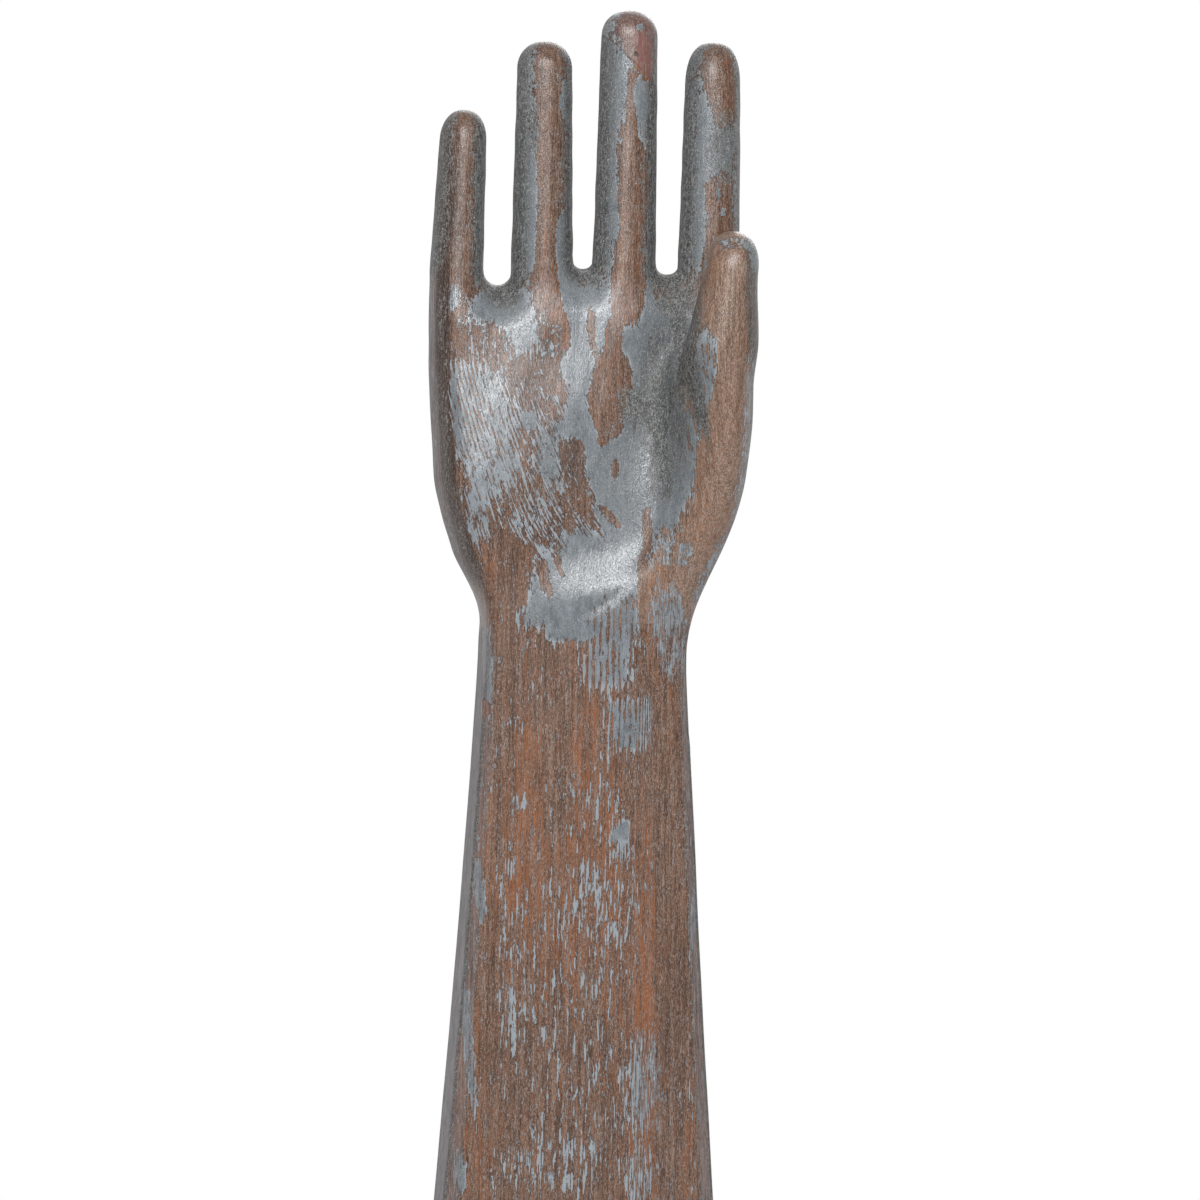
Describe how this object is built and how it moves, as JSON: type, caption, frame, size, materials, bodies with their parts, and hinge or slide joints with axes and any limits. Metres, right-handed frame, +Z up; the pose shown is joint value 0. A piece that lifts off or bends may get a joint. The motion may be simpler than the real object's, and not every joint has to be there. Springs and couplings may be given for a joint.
{
  "type": "glove mold",
  "caption": "Carved hardwood hand and forearm with worn paint, on which gloves are shaped and dried; a peg socket opens in its underside.",
  "frame": {"origin": "centre of the peg socket's mouth in the underside", "axes": "+Z up along the arm to the fingertips, -Y the way the palm faces, +X towards the thumb; the two boards meet on the plane y = 0"},
  "size_m": [0.1066, 0.0615, 0.508],
  "materials": {
    "worn_wood": "hardwood under worn blue-grey paint, satin",
    "golden_wood": "handled hardwood with traces of blue-grey paint, satin",
    "red_wood": "reddish hardwood, satin",
    "dowel_wood": "plain birch, matt",
    "plate_steel": "dull mild steel with light rust",
    "bare_steel": "turned steel, worn"
  },
  "bodies": {
    "root": {"palm_board": "worn_wood", "back_board": "worn_wood", "thumb_block": "golden_wood", "middle_fingertip": "red_wood", "fingertip_brad": "bare_steel", "thumb_dowels": "dowel_wood", "board_dowels": "dowel_wood", "wrist_plug": "red_wood", "foot_plate": "plate_steel", "foot_screws": "bare_steel", "peg_socket": "plate_steel"}
  },
  "joints": []
}
